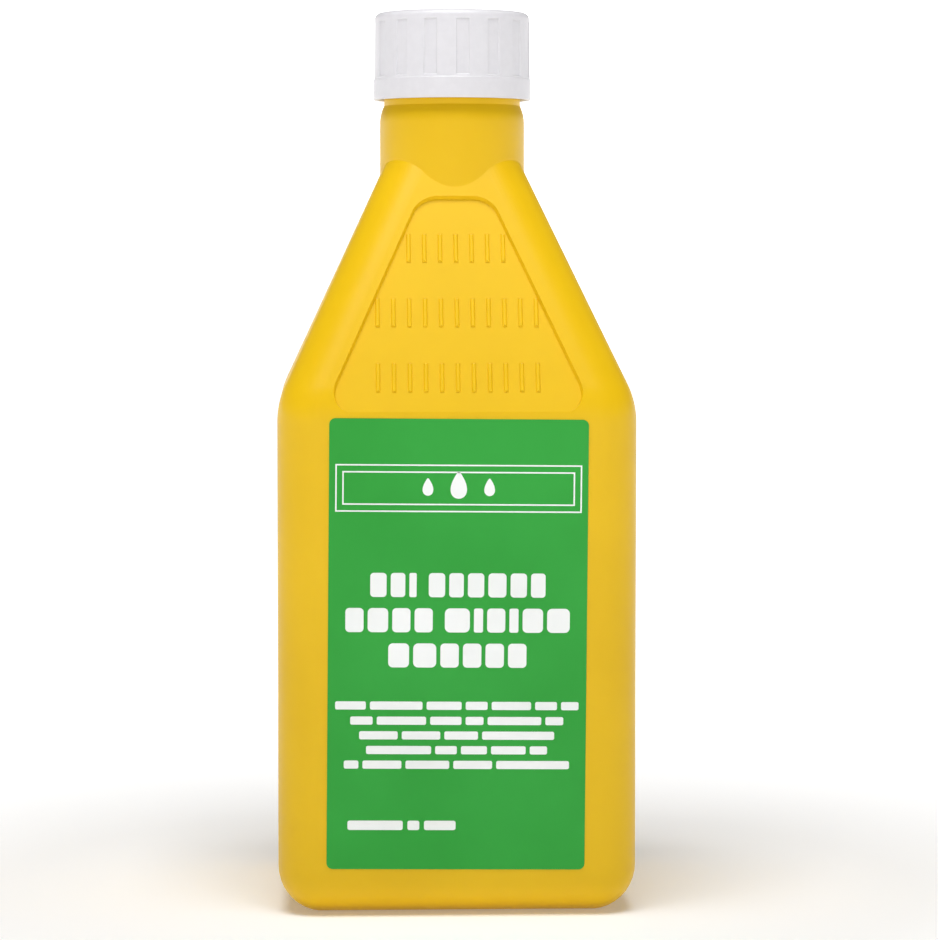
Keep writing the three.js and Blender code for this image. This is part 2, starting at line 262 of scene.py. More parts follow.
def shapeBody(name, skin):
    # a rounded rectangle, drawn up as a wall and then stepped inwards over the fold
    size = bottleSizes
    bpy.ops.mesh.primitive_plane_add(size=1, location=(0, 0, size["heelRadius"]))
    body = newest(name)
    body.scale = (size["width"] - 2 * skin, size["depth"] - 2 * skin, 1)
    bakePlace(body)
    editing(body)
    selectAll()
    roundCorners(size["cornerRadius"] - skin, size["cornerSegments"])
    selectAll()
    extrudeUp(foldStart - size["heelRadius"])
    doneEditing()
    heights = []
    for step in range(1, size["foldSteps"] + 1):
        heights.append(foldStart + size["foldRadius"] * math.sin(sideLean) * step / size["foldSteps"])
    topHalfDepth = size["cornerRadius"] + size["topFlat"]
    heights.append(size["foldHeight"] + (size["depth"] / 2 - topHalfDepth) / math.tan(frontLean))
    z = foldStart
    for nextZ in heights:
        editing(body)
        pickVerts(body, lambda co: nearlyEqual(co.z, z))
        extrudeUp(nextZ - z)
        sideStep = shoulderInset(nextZ, sideLean, skin) - shoulderInset(z, sideLean, skin)
        frontStep = shoulderInset(nextZ, frontLean, skin) - shoulderInset(z, frontLean, skin)
        for way in (-1, 1):
            pickVerts(body, lambda co: nearlyEqual(co.z, nextZ) and co.x * way > 0)
            bpy.ops.transform.translate(value=(-way * sideStep, 0, 0))
            pickVerts(body, lambda co: nearlyEqual(co.z, nextZ) and co.y * way > 0)
            bpy.ops.transform.translate(value=(0, -way * frontStep, 0))
        doneEditing()
        z = nextZ
    tuckHeel(body, skin)
    tidyMesh(body)
    return body


def tuckHeel(body, skin):
    # the wall's foot drawn down and in; each corner is resized about its own centre
    size = bottleSizes
    heel = size["heelRadius"] - skin
    fullRadius = size["cornerRadius"] - skin
    middleX = size["width"] / 2 - size["cornerRadius"]
    middleY = size["depth"] / 2 - size["cornerRadius"]
    z, radius, shift = size["heelRadius"], fullRadius, 0
    for step in range(1, size["heelSegments"] + 1):
        angle = math.pi / 2 * step / size["heelSegments"]
        nextZ = size["heelRadius"] - heel * math.sin(angle)
        inset = heel * (1 - math.cos(angle))
        nextRadius = max(fullRadius - inset, size["smallestCorner"])
        nextShift = inset - fullRadius + nextRadius
        editing(body, "FACE")
        pickFaces(body, lambda centre, normal: nearlyEqual(centre.z, z))
        extrudeUp(nextZ - z)
        ratio = nextRadius / radius
        for wayX, wayY in ((-1, -1), (-1, 1), (1, -1), (1, 1)):
            pickVerts(body, lambda co: nearlyEqual(co.z, nextZ) and co.x * wayX > 0 and co.y * wayY > 0)
            centre = (wayX * (middleX - shift), wayY * (middleY - shift), nextZ)
            bpy.ops.transform.resize(value=(ratio, ratio, 1), center_override=centre)
            inwards = nextShift - shift
            bpy.ops.transform.translate(value=(-wayX * inwards, -wayY * inwards, 0))
        doneEditing()
        z, radius, shift = nextZ, nextRadius, nextShift


def turnUp(name, profile, segments):
    # a disc drawn up and resized along a profile of (radius, height), as on a lathe
    radius, z = profile[0]
    bpy.ops.mesh.primitive_circle_add(
        vertices=segments, radius=radius, fill_type="NGON", location=(0, 0, z)
    )
    piece = newest(name)
    bakePlace(piece)
    editing(piece, "FACE")
    selectAll()
    for nextRadius, nextZ in profile[1:]:
        extrudeUp(nextZ - z)
        ratio = nextRadius / radius
        bpy.ops.transform.resize(value=(ratio, ratio, 1), center_override=(0, 0, nextZ))
        radius, z = nextRadius, nextZ
    doneEditing()
    tidyMesh(piece)
    return piece


def arcPoints(centreRadius, centreZ, radius, start, end, steps):
    points = []
    for step in range(steps + 1):
        angle = math.radians(start + (end - start) * step / steps)
        points.append((centreRadius + radius * math.cos(angle), centreZ + radius * math.sin(angle)))
    return points


def shapeNeck():
    size = bottleSizes
    low = size["foldHeight"] + size["frontRise"] - panelSizes["topGap"]
    centre = size["neckRadius"] - size["neckRound"]
    end = math.degrees(math.acos((size["finishRadius"] - centre) / size["neckRound"]))
    lip = size["lipRadius"]
    profile = [(size["neckRadius"], low)]
    profile += arcPoints(centre, neckRoundStart, size["neckRound"], 0, end, size["neckSteps"])
    profile += arcPoints(size["finishRadius"] - lip, lipHeight - lip, lip, 0, 90, size["lipSteps"])
    return turnUp("neckForm", profile, size["roundSegments"])


def shapeBore():
    size = bottleSizes
    low = size["foldHeight"] + size["frontRise"] - panelSizes["topGap"] - size["boreOverlap"]
    neckBore = size["neckRadius"] - size["neckWall"]
    mouth = size["boreRadius"] + size["mouthChamfer"]
    profile = [(neckBore, low), (neckBore, neckRoundStart), (size["boreRadius"], finishStart)]
    profile += [(size["boreRadius"], lipHeight - size["mouthChamfer"])]
    profile += [(mouth, lipHeight), (mouth, lipHeight + overshoot)]
    return turnUp("boreForm", profile, size["roundSegments"])


panelSizes = {
    "margin": 11.9 * mm,
    "topGap": 2.3 * mm,
    "drop": 2.6 * mm,
    "depth": 1.0 * mm,
    "draft": 0.5 * mm,
    "topRadius": 6.5 * mm,
    "bottomRadius": 6.5 * mm,
    "cornerSegments": 12,
    "cutOut": 2 * mm,  # how far the cutting shape stands out of the shoulder
    "clear": 0.5 * mm,  # its straight part, before the draft starts
}


def shapePanel(growth):
    # the sunk panel's cutting shape, drawn flat and then leant against the shoulder
    size = panelSizes
    body = bottleSizes
    slope = size["draft"] / size["depth"]
    spread = size["cutOut"] * slope + growth
    slant = math.atan(math.tan(sideLean) * math.cos(frontLean))
    low = -size["drop"] / math.cos(frontLean) - spread
    high = (body["frontRise"] - size["topGap"]) / math.cos(frontLean) + spread

    def halfWidth(along):
        return body["width"] / 2 - size["margin"] - along * math.tan(slant) + spread / math.cos(slant)

    bpy.ops.mesh.primitive_plane_add(size=2, location=(0, 0, 0))
    panel = newest("panelForm")
    editing(panel)
    for end, along in ((-1, low), (1, high)):
        pickVerts(panel, lambda co: co.y * end > 0.5)
        bpy.ops.transform.resize(value=(halfWidth(along), 1, 1), center_override=(0, 0, 0))
    for end, along in ((-1, low), (1, high)):
        pickVerts(panel, lambda co: co.y * end > 0.5)
        bpy.ops.transform.translate(value=(0, along - end, 0))
    for along, corner, radius in (
        (low, math.pi / 2 - slant, size["bottomRadius"]),
        (high, math.pi / 2 + slant, size["topRadius"]),
    ):
        pickVerts(panel, lambda co: nearlyEqual(co.y, along))
        roundCorners((radius + spread) / math.tan(corner / 2), size["cornerSegments"])
    bpy.ops.mesh.select_mode(type="FACE")
    selectAll()
    bpy.ops.transform.translate(value=(0, 0, size["cutOut"] + size["clear"]))
    extrudeUp(-size["clear"])
    doneEditing()
    fall = size["cutOut"] + size["depth"] + growth
    editing(panel, "FACE")
    pickFaces(panel, lambda centre, normal: nearlyEqual(centre.z, size["cutOut"]))
    bpy.ops.mesh.inset(thickness=fall * slope)
    bpy.ops.transform.translate(value=(0, 0, -fall))
    doneEditing()
    tidyMesh(panel)
    panel.rotation_euler = (math.pi / 2 - frontLean, 0, 0)
    panel.location = (0, -body["depth"] / 2, body["foldHeight"])
    bakePlace(panel)
    return panel


baseSizes = {
    "standingRim": 5 * mm,
    "pushUp": 3 * mm,
    "slope": 3 * mm,
    "cornerRadius": 8 * mm,
    "baseWall": 1.5 * mm,
    "weldWidth": 1.4 * mm,
    "weldHeight": 0.6 * mm,
    "weldEdge": 0.3 * mm,
    "below": 2 * mm,  # how far under the floor the cutting shape starts
    "lead": 0.2 * mm,  # its straight part, before the slope starts
    "cornerSegments": 12,
    "edgeSegments": 3,
}


def shapePushUp(growth):
    # the raised middle of the base: a rounded rectangle drawn up and resized
    size = baseSizes
    body = bottleSizes
    run = size["slope"] / size["pushUp"]
    reach = size["below"] * run + growth * run + growth
    halfWidth = body["width"] / 2 - body["heelRadius"] - size["standingRim"] + reach
    halfDepth = body["depth"] / 2 - body["heelRadius"] - size["standingRim"] + reach
    bpy.ops.mesh.primitive_plane_add(size=2, location=(0, 0, -size["below"]))
    form = newest("pushUpForm")
    form.scale = (halfWidth, halfDepth, 1)
    bakePlace(form)
    editing(form)
    selectAll()
    roundCorners(size["cornerRadius"] + reach, size["cornerSegments"])
    selectAll()
    extrudeUp(size["lead"])
    doneEditing()
    top = max(vertex.co.z for vertex in form.data.vertices)
    rise = size["pushUp"] + growth - top
    editing(form, "FACE")
    pickFaces(form, lambda centre, normal: nearlyEqual(centre.z, top))
    bpy.ops.mesh.inset(thickness=rise * run)
    bpy.ops.transform.translate(value=(0, 0, rise))
    doneEditing()
    tidyMesh(form)
    return form


# Raised marks and ribs
reliefSizes = {
    "relief": 0.4 * mm,
    "draft": 0.35 * mm,
    "root": 0.5 * mm,
    "markStep": 100,  # millilitres
    "markCount": 10,
    "longMarkEvery": 5,
    "markLength": 12 * mm,
    "longMarkLength": 20 * mm,
    "markWidth": 1.6 * mm,
    "ribRows": ((37.7 * mm, 7), (21.9 * mm, 11), (6.2 * mm, 11)),  # rise above the fold, and how many
    "ribPitch": 3.9 * mm,
    "ribLength": 8 * mm,
    "ribWidth": 1.5 * mm,
    "edge": 0.22 * mm,
    "edgeSegments": 3,
}


def raisedBar(name, length, width):
    # a low bar with sloping sides and soft edges, lying along X on a wall that faces +Y
    size = reliefSizes
    bpy.ops.mesh.primitive_cube_add(size=1, location=(0, (size["relief"] - size["root"]) / 2, 0))
    bar = newest(name)
    bar.scale = (length, size["relief"] + size["root"], width)
    bakePlace(bar)
    editing(bar, "FACE")
    pickFaces(bar, lambda centre, normal: normal.y > 0.9)
    shrink = size["draft"] * 2
    ratios = (1 - shrink / length, 1, 1 - shrink / width)
    bpy.ops.transform.resize(value=ratios, center_override=(0, size["relief"], 0))
    doneEditing()
    editing(bar, "EDGE")
    pickEdges(bar, lambda a, b: a.y > 0 and b.y > 0)
    roundEdges(size["edge"], size["edgeSegments"])
    doneEditing()
    return bar


def panelFloor(z):
    rise = z - bottleSizes["foldHeight"]
    return bottleSizes["depth"] / 2 - rise * math.tan(frontLean) - panelSizes["depth"] / math.cos(frontLean)


def leanAndPlace(bar, lean, place, toFront=False):
    bar.rotation_euler = (lean, 0, 0)
    bar.location = place
    bakePlace(bar)
    if toFront:
        bar.rotation_euler = (0, 0, math.pi)
        bakePlace(bar)
    return bar


def heldVolume(height):
    # millilitres held up to this height, added up in thin slices
    size = bottleSizes
    skin = size["wall"]
    sliceHeight = 0.25 * mm
    total = 0
    z = skin
    while z < height:
        middle = z + sliceHeight / 2
        side = shoulderInset(middle, sideLean, skin)
        front = shoulderInset(middle, frontLean, skin)
        radius = size["cornerRadius"] - skin
        if middle < size["heelRadius"]:
            inner = size["heelRadius"] - skin
            heel = size["heelRadius"] - math.sqrt(max(0, inner**2 - (size["heelRadius"] - middle) ** 2))
            side = front = heel
            radius = size["cornerRadius"] - heel
        halfX = size["width"] / 2 - side
        halfY = size["depth"] / 2 - front
        area = 4 * halfX * halfY - (4 - math.pi) * radius**2
        if middle < baseSizes["pushUp"] + baseSizes["baseWall"]:
            rim = size["heelRadius"] + baseSizes["standingRim"] + middle - 2 * baseSizes["baseWall"]
            area -= 4 * (size["width"] / 2 - rim) * (size["depth"] / 2 - rim)
        floor = panelFloor(middle) - skin / math.cos(frontLean)
        if middle > size["foldHeight"] - panelSizes["drop"] and floor < halfY:
            rise = middle - size["foldHeight"]
            panelHalf = size["width"] / 2 - panelSizes["margin"] - rise * math.tan(sideLean) + skin
            area -= 4 * panelHalf * (halfY - floor)
        total += area * sliceHeight
        z += sliceHeight
    return total * 1e6  # cubic metres to millilitres


def fillHeight(millilitres):
    closeEnough = 0.02 * mm
    low = 0
    high = bottleSizes["foldHeight"] + bottleSizes["frontRise"]
    while high - low > closeEnough:
        middle = (low + high) / 2
        if heldVolume(middle) < millilitres:
            low = middle
        else:
            high = middle
    return low


def makeLevelMarks():
    size = reliefSizes
    marks = []
    for mark in range(1, size["markCount"] + 1):
        z = fillHeight(mark * size["markStep"])
        wallPlace = bottleSizes["depth"] / 2 - shoulderInset(z, frontLean, 0)
        inPanel = panelFloor(z) < wallPlace
        length = size["longMarkLength"] if mark % size["longMarkEvery"] == 0 else size["markLength"]
        bar = raisedBar("levelMark", length, size["markWidth"])
        place = (0, panelFloor(z) if inPanel else wallPlace, z)
        marks.append(leanAndPlace(bar, frontLean if inPanel else 0, place))
    return marks


def makeGripRibs():
    size = reliefSizes
    ribs = []
    for rise, count in size["ribRows"]:
        z = bottleSizes["foldHeight"] + rise
        for i in range(count):
            bar = raisedBar("gripRib", size["ribLength"], size["ribWidth"])
            bar.rotation_euler = (0, math.pi / 2, 0)
            bakePlace(bar)
            x = (i - (count - 1) / 2) * size["ribPitch"]
            ribs.append(leanAndPlace(bar, frontLean, (x, panelFloor(z), z), toFront=True))
    return ribs


# Threads
threadSizes = {
    "pitch": 4.233 * mm,
    "height": 1.1 * mm,
    "rootWidth": 2.3 * mm,
    "crestWidth": 1.1 * mm,
    "turns": 2.0,
    "belowLip": 2 * mm,
    "clearance": 0.3 * mm,
    "capHeight": 0.95 * mm,
    "capRootWidth": 1.5 * mm,
    "capCrestWidth": 0.7 * mm,
    "capTurns": 1.6,
    "capLead": 0.25,
    "root": 0.4 * mm,
    "taperTurns": 0.12,
    "stepsPerTurn": 96,
    "endRise": 0.1 * mm,  # of the crest over the buried edge, at the ridge's ends
    "reach": 0.05 * mm,  # how far from its place on the helix a crest point may lie
    "reachTurns": 0.01,
}
threadRadius = bottleSizes["finishRadius"] + threadSizes["height"]
threadStart = lipHeight - threadSizes["belowLip"] - threadSizes["turns"] * threadSizes["pitch"]
capBoreRadius = threadRadius + threadSizes["clearance"]


def makeThread(name, rootRadius, crestRadius, rootWidth, crestWidth, start, firstTurn, turns):
    # one section of the ridge, drawn round and up the helix by the screw modifier
    size = threadSizes
    outwards = 1 if crestRadius > rootRadius else -1
    buried = rootRadius - outwards * size["root"]
    z = start + size["pitch"] * firstTurn
    bpy.ops.mesh.primitive_plane_add(size=1, location=(0, 0, 0), rotation=(math.pi / 2, 0, 0))
    ridge = newest(name)
    bakePlace(ridge)
    editing(ridge)
    for side, radius, width in ((1, crestRadius, crestWidth), (-1, buried, rootWidth)):
        pickVerts(ridge, lambda co: co.x * side > 0)
        bpy.ops.transform.resize(value=(0, 1, width), center_override=(0, 0, 0))
        bpy.ops.transform.translate(value=(radius, 0, z))
    selectAll()
    bpy.ops.mesh.delete(type="ONLY_FACE")
    doneEditing()
    ridge.rotation_euler = (0, 0, 2 * math.pi * firstTurn)
    bakePlace(ridge)
    steps = round(turns * size["stepsPerTurn"])
    useModifier(
        ridge,
        "SCREW",
        axis="Z",
        angle=2 * math.pi * turns,
        screw_offset=size["pitch"] * turns,
        steps=steps,
        render_steps=steps,
        use_smooth_shade=False,
    )
    # the ridge fades into the wall at both ends
    for vertex in ridge.data.vertices:
        reach = math.hypot(vertex.co.x, vertex.co.y)
        if nearlyEqual(reach, buried):
            continue
        done = helixTurns(vertex.co, z, size["pitch"], turns, crestWidth, firstTurn)
        rise = max(0, min(1, done / size["taperTurns"], (turns - done) / size["taperTurns"]))
        faded = buried + outwards * size["endRise"]
        wanted = faded + (crestRadius - faded) * rise
        vertex.co.x *= wanted / reach
        vertex.co.y *= wanted / reach
    editing(ridge, "EDGE")
    bpy.ops.mesh.select_non_manifold(extend=False)
    bpy.ops.mesh.fill_holes(sides=6)
    doneEditing()
    tidyMesh(ridge)
    return ridge


def helixTurns(co, z, pitch, turns, width, firstTurn):
    # how many turns along the helix a point of the crest lies
    angle = math.atan2(co.y, co.x) / (2 * math.pi) - firstTurn
    near = width / 2 + threadSizes["reach"]
    more = threadSizes["reachTurns"]
    best = 0
    for whole in range(-3, 5):
        done = angle + whole
        if abs(z + pitch * done - co.z) < near and -more < done < turns + more:
            best = done
    return best


def cutPanels(piece, growth):
    for turn in (0, math.pi):
        panel = shapePanel(growth)
        panel.rotation_euler = (0, 0, turn)
        bakePlace(panel)
        combine(piece, panel, "DIFFERENCE")


def makeBottle():
    size = bottleSizes
    bottle = shapeBody("bottleShell", 0)
    combine(bottle, shapeNeck(), "UNION")
    cutPanels(bottle, 0)
    combine(bottle, shapePushUp(0), "DIFFERENCE")
    cavity = shapeBody("cavityForm", size["wall"])
    combine(cavity, shapeBore(), "UNION")
    cutPanels(cavity, size["wall"])
    combine(cavity, shapePushUp(baseSizes["baseWall"]), "DIFFERENCE")
    bpy.ops.mesh.primitive_cube_add(size=1, location=(0, 0, baseSizes["pushUp"]))
    weld = newest("pinchWeld")
    weldLength = size["width"] - 2 * (size["heelRadius"] + baseSizes["standingRim"] + baseSizes["slope"])
    weld.scale = (weldLength, baseSizes["weldWidth"], 2 * baseSizes["weldHeight"])
    bakePlace(weld)
    useModifier(weld, "BEVEL", width=baseSizes["weldEdge"], segments=baseSizes["edgeSegments"])
    thread = makeThread(
        "neckThread",
        size["finishRadius"],
        threadRadius,
        threadSizes["rootWidth"],
        threadSizes["crestWidth"],
        threadStart,
        0,
        threadSizes["turns"],
    )
    extras = joinPieces([weld, thread] + makeLevelMarks() + makeGripRibs(), "extras")
    combine(bottle, extras, "UNION")
    combine(bottle, cavity, "DIFFERENCE")
    tidyMesh(bottle)
    smoothShade(bottle, size["shadeAngle"])
    return bottle


bottle = makeBottle()
print("bottle faces", len(bottle.data.polygons))
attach(bottle, "bottle")
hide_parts("bottle")


# Cap
print("cap")
capSizes = {
    "wall": 0.65 * mm,
    "top": 1.5 * mm,
    "dome": 0.6 * mm,
    "crownRadius": 1.6 * mm,
    "draft": 0.2 * mm,
    "rimGap": 1.45 * mm,
    "bandHeight": 5.3 * mm,
    "bandStep": 0.17 * mm,
    "fluteCount": 15,
    "fluteWidth": 3.9 * mm,
    "fluteDepth": 0.45 * mm,
    "fluteRunOut": 0.7 * mm,
    "fluteStart": math.radians(11.8),
    "fluteFloor": 0.86,  # the floor's width as a share of the flute's
    "fluteEdge": 0.3 * mm,
    "edgeSegments": 3,
    "cutOut": 2 * mm,
    "mouthChamfer": 0.3 * mm,
    "edge": 0.15 * mm,
    "edgeShare": 0.3,  # where the point between an edge's two ends lies
    "crownSteps": 12,
    "domeShares": (0.75, 0.5, 0.25, 0.02),  # of the radius at which the dome starts
    "segments": 180,
    "shadeAngle": 30,
}
linerSizes = {
    "thickness": 1.4 * mm,
    "clearance": 0.25 * mm,
    "seatGap": 0.05 * mm,
    "edge": 0.25 * mm,
    "segments": 128,
    "shadeAngle": 40,
}
capRim = finishStart + capSizes["rimGap"]
ceilingHeight = lipHeight + linerSizes["thickness"] + 2 * linerSizes["seatGap"]
crownHeight = ceilingHeight + capSizes["top"]
fluteFloorRadius = capBoreRadius + capSizes["wall"]
landRadius = fluteFloorRadius + capSizes["fluteDepth"]


def makeFlute():
    # a cutting block whose inner face is the flute's floor, with sloping ends and rounded sides
    size = capSizes
    bottom = capRim + size["bandHeight"] - size["bandStep"]
    top = crownHeight - size["crownRadius"]
    out = size["cutOut"]
    bpy.ops.mesh.primitive_cube_add(
        size=1, location=(fluteFloorRadius + out / 2, 0, (bottom + top) / 2)
    )
    flute = newest("fluteForm")
    flute.scale = (out, size["fluteWidth"], top - bottom)
    bakePlace(flute)
    editing(flute, "FACE")
    pickFaces(flute, lambda centre, normal: normal.x < -0.9)
    height = 1 - 2 * size["fluteRunOut"] / (top - bottom)
    bpy.ops.transform.resize(value=(1, size["fluteFloor"], height))
    doneEditing()
    editing(flute, "EDGE")
    pickEdges(flute, lambda a, b: a.x < landRadius and b.x < landRadius)
    roundEdges(size["fluteEdge"], size["edgeSegments"])
    doneEditing()
    return flute


def makeCap():
    size = capSizes
    centre = landRadius - size["draft"] - size["crownRadius"]
    bandTop = capRim + size["bandHeight"]
    band = landRadius + size["bandStep"]
    edge = size["edge"]
    part = edge * size["edgeShare"]
    mouth = capBoreRadius + size["mouthChamfer"]
    outside = [(mouth, capRim), (band - edge, capRim)]
    outside += [(band - part, capRim + part), (band, capRim + edge)]
    outside += [(band, bandTop - size["bandStep"] - edge), (band - part, bandTop - size["bandStep"])]
    outside += [(landRadius, bandTop)]
    crown = size["crownRadius"]
    outside += arcPoints(centre, crownHeight - crown, crown, 0, 90, size["crownSteps"])
    for share in size["domeShares"]:
        outside.append((centre * share, crownHeight + size["dome"] * (1 - share**2)))
    cap = turnUp("capShell", outside, size["segments"])
    inside = [(mouth, capRim - overshoot), (mouth, capRim)]
    inside += [(capBoreRadius, capRim + size["mouthChamfer"]), (capBoreRadius, ceilingHeight)]
    flutes = []
    for i in range(size["fluteCount"]):
        flute = makeFlute()
        flute.rotation_euler = (0, 0, size["fluteStart"] + 2 * math.pi * i / size["fluteCount"])
        bakePlace(flute)
        flutes.append(flute)
    combine(cap, joinPieces(flutes, "flutes"), "DIFFERENCE")
    combine(cap, turnUp("capInside", inside, size["segments"]), "DIFFERENCE")
    slope = (threadSizes["rootWidth"] - threadSizes["crestWidth"]) / 2 / threadSizes["height"]
    crest = capBoreRadius - threadSizes["capHeight"]
    neckHalf = threadSizes["crestWidth"] / 2 + (threadRadius - crest) * slope
    drop = neckHalf + threadSizes["capCrestWidth"] / 2 + threadSizes["clearance"]
    thread = makeThread(
        "capThread",
        capBoreRadius,
        crest,
        threadSizes["capRootWidth"],
        threadSizes["capCrestWidth"],
        threadStart - drop,
        -threadSizes["capLead"],
        threadSizes["capTurns"],
    )
    combine(cap, thread, "UNION")
    tidyMesh(cap)
    smoothShade(cap, size["shadeAngle"])
    return cap


cap = makeCap()
print("cap faces", len(cap.data.polygons))
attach(cap, "cap")
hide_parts("screw_cap")


# Liner
print("liner")


def makeLiner():
    radius = capBoreRadius - linerSizes["clearance"]
    low = lipHeight + linerSizes["seatGap"]
    high = low + linerSizes["thickness"]
    edge = linerSizes["edge"]
    profile = [(radius - edge, low)]
    profile += arcPoints(radius - edge, low + edge, edge, -60, 0, 3)
    profile += arcPoints(radius - edge, high - edge, edge, 0, 90, 4)
    liner = turnUp("linerDisc", profile, linerSizes["segments"])
    smoothShade(liner, linerSizes["shadeAngle"])
    return liner


liner = makeLiner()
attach(liner, "liner")
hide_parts("cap_liner")


# Label
print("label")
labelSizes = {
    "sideMargin": 2.3 * mm,
    "topRise": 1.1 * mm,
    "bottomMargin": 0.4 * mm,
    "offset": -0.3 * mm,
    "cornerRadius": 1.5 * mm,
    "thickness": 0.12 * mm,
    "glue": 0.03 * mm,
    "turn": math.radians(0.48),
    "ink": 0.02 * mm,  # thickness of the white print
    "cornerSegments": 10,
    "blockSegments": 6,
}
labelWidth = bottleSizes["width"] - 2 * (bottleSizes["cornerRadius"] + labelSizes["sideMargin"])
labelLow = bottleSizes["heelRadius"] + labelSizes["bottomMargin"]
labelHigh = foldStart + labelSizes["topRise"]
labelMiddle = (labelLow + labelHigh) / 2
labelFace = -bottleSizes["depth"] / 2 - labelSizes["glue"] - labelSizes["thickness"]


def flatShape(name, width, height, x, z, radius, thickness, front, segments):
    # a rounded rectangle standing in the label's plane; x and z are from the label's middle
    bpy.ops.mesh.primitive_plane_add(size=1, location=(0, 0, 0))
    shape = newest(name)
    shape.scale = (width, height, 1)
    bakePlace(shape)
    editing(shape)
    selectAll()
    if radius > 0:
        roundCorners(radius, segments)
    selectAll()
    extrudeUp(thickness)
    doneEditing()
    shape.rotation_euler = (math.pi / 2, 0, 0)
    shape.location = (x, front + thickness, z)
    bakePlace(shape)
    return shape


def setAskew(piece):
    piece.rotation_euler = (0, labelSizes["turn"], 0)
    piece.location = (labelSizes["offset"], 0, labelMiddle)
    bakePlace(piece)
    tidyMesh(piece)
    return piece


sheetFront = labelFace + labelSizes["ink"]
label = flatShape(
    "labelSheet",
    labelWidth,
    labelHigh - labelLow,
    0,
    0,
    labelSizes["cornerRadius"],
    labelSizes["thickness"] - labelSizes["ink"],
    sheetFront,
    labelSizes["cornerSegments"],
)
setAskew(label)
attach(label, "bottle")
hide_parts("front_label")

# Rows of plain blocks stand where a label has its print. Each row gives its middle height, the
# blocks' height, the row's width and its groups of blocks. These lengths are in millimetres
printRows = {
    "title": (
        (14.6, 5.9, 42.7, ((9, 8, 4), (9, 8, 9, 10, 9, 8))),
        (6.0, 5.9, 54.7, ((8, 9, 8, 8), (11, 4, 8, 4, 9, 10))),
        (-2.6, 5.9, 33.7, ((9, 10, 8, 8, 8, 8),)),
    ),
    "body": (
        (-14.9, 2.0, 59.4, ((7,), (12,), (8,), (5,), (9,), (5,), (4,))),
        (-18.6, 2.0, 52.0, ((5,), (11,), (7,), (4,), (12,), (4,))),
        (-22.2, 2.0, 47.6, ((8,), (8,), (7,), (15,))),
        (-25.8, 2.0, 44.2, ((15,), (5,), (6,), (8,), (4,))),
        (-29.4, 2.0, 55.0, ((3,), (8,), (9,), (8,), (15,))),
    ),
    "foot": ((-44.3, 2.3, 26.4, ((14,), (3,), (8,))),),
}
footStart = -26.5  # the row at the foot starts here, and the others are centred
blockGap = 0.17  # as shares of the block's height
groupGap = 0.5
blockRound = 0.22
bandSizes = {"x": 0, "z": 38.2, "width": 60.0, "height": 11.6, "line": 0.35, "inset": 1.7}
dropSizes = {
    "radii": (1.3, 2.0, 1.3),
    "spacing": 7.5,
    "below": 0.5,
    "segments": 48,
    "tipStart": 0.985,  # as shares of the radius
    "tipRise": 1.25,
    "tipReach": 1.9,
}


def inkShape(name, width, height, x, z, radius):
    return flatShape(
        name,
        width * mm,
        height * mm,
        x * mm,
        z * mm,
        radius * mm,
        labelSizes["ink"],
        labelFace,
        labelSizes["blockSegments"],
    )


def makeRow(row, startX=None):
    z, height, width, groups = row
    gaps = blockGap * sum(len(group) - 1 for group in groups) + groupGap * (len(groups) - 1)
    scale = (width - gaps * height) / sum(sum(group) for group in groups)
    x = -width / 2 if startX is None else startX
    blocks = []
    for group in groups:
        for share in group:
            length = share * scale
            radius = min(height, length) * blockRound
            blocks.append(inkShape("printBlock", length, height, x + length / 2, z, radius))
            x += length + blockGap * height
        x += (groupGap - blockGap) * height
    return blocks


def makeFrame(width, height):
    # a thin rectangle outline, made of four strips
    x, z, line = bandSizes["x"], bandSizes["z"], bandSizes["line"]
    sides = []
    for way in (-1, 1):
        sides.append(inkShape("bandLine", width, line, x, z + way * (height - line) / 2, 0))
        sides.append(inkShape("bandLine", line, height - 2 * line, x + way * (width - line) / 2, z, 0))
    return sides


def makeDrop(x, z, radius):
    # a falling drop: a disc with its upper edge drawn out to a point
    size = dropSizes
    bpy.ops.mesh.primitive_circle_add(
        vertices=size["segments"], radius=radius * mm, fill_type="NGON", location=(0, 0, 0)
    )
    drop = newest("printDrop")
    editing(drop)
    pickVerts(drop, lambda co: co.y > radius * size["tipStart"] * mm)
    bpy.ops.transform.translate(
        value=(0, radius * size["tipRise"] * mm, 0),
        use_proportional_edit=True,
        proportional_edit_falloff="SHARP",
        proportional_size=radius * size["tipReach"] * mm,
    )
    selectAll()
    extrudeUp(labelSizes["ink"])
    doneEditing()
    drop.rotation_euler = (math.pi / 2, 0, 0)
    drop.location = (x * mm, labelFace + labelSizes["ink"], z * mm)
    bakePlace(drop)
    return drop


def makePrint():
    band = bandSizes
    shapes = makeFrame(band["width"], band["height"])
    shapes += makeFrame(band["width"] - 2 * band["inset"], band["height"] - 2 * band["inset"])
    for i, radius in enumerate(dropSizes["radii"]):
        shapes.append(makeDrop((i - 1) * dropSizes["spacing"], band["z"] - dropSizes["below"], radius))
    for kind, rows in printRows.items():
        for row in rows:
            shapes += makeRow(row, footStart if kind == "foot" else None)
    return setAskew(joinPieces(shapes, "labelPrint"))


labelPrint = makePrint()
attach(labelPrint, "bottle")


# Materials
print("materials")


def newMaterial(name):
    material = bpy.data.materials.new(name)
    material.use_nodes = True
    nodes = material.node_tree.nodes
    return material, nodes, material.node_tree.links, nodes["Principled BSDF"]


def addNoise(nodes, links, scale, detail, roughness=0.5):
    place = nodes.new("ShaderNodeTexCoord")
    noise = nodes.new("ShaderNodeTexNoise")
    noise.inputs["Scale"].default_value = scale
    noise.inputs["Detail"].default_value = detail
    noise.inputs["Roughness"].default_value = roughness
    links.new(place.outputs["Object"], noise.inputs["Vector"])
    return noise


blendRange = (0.35, 0.65)  # the part of a noise over which the two colours blend


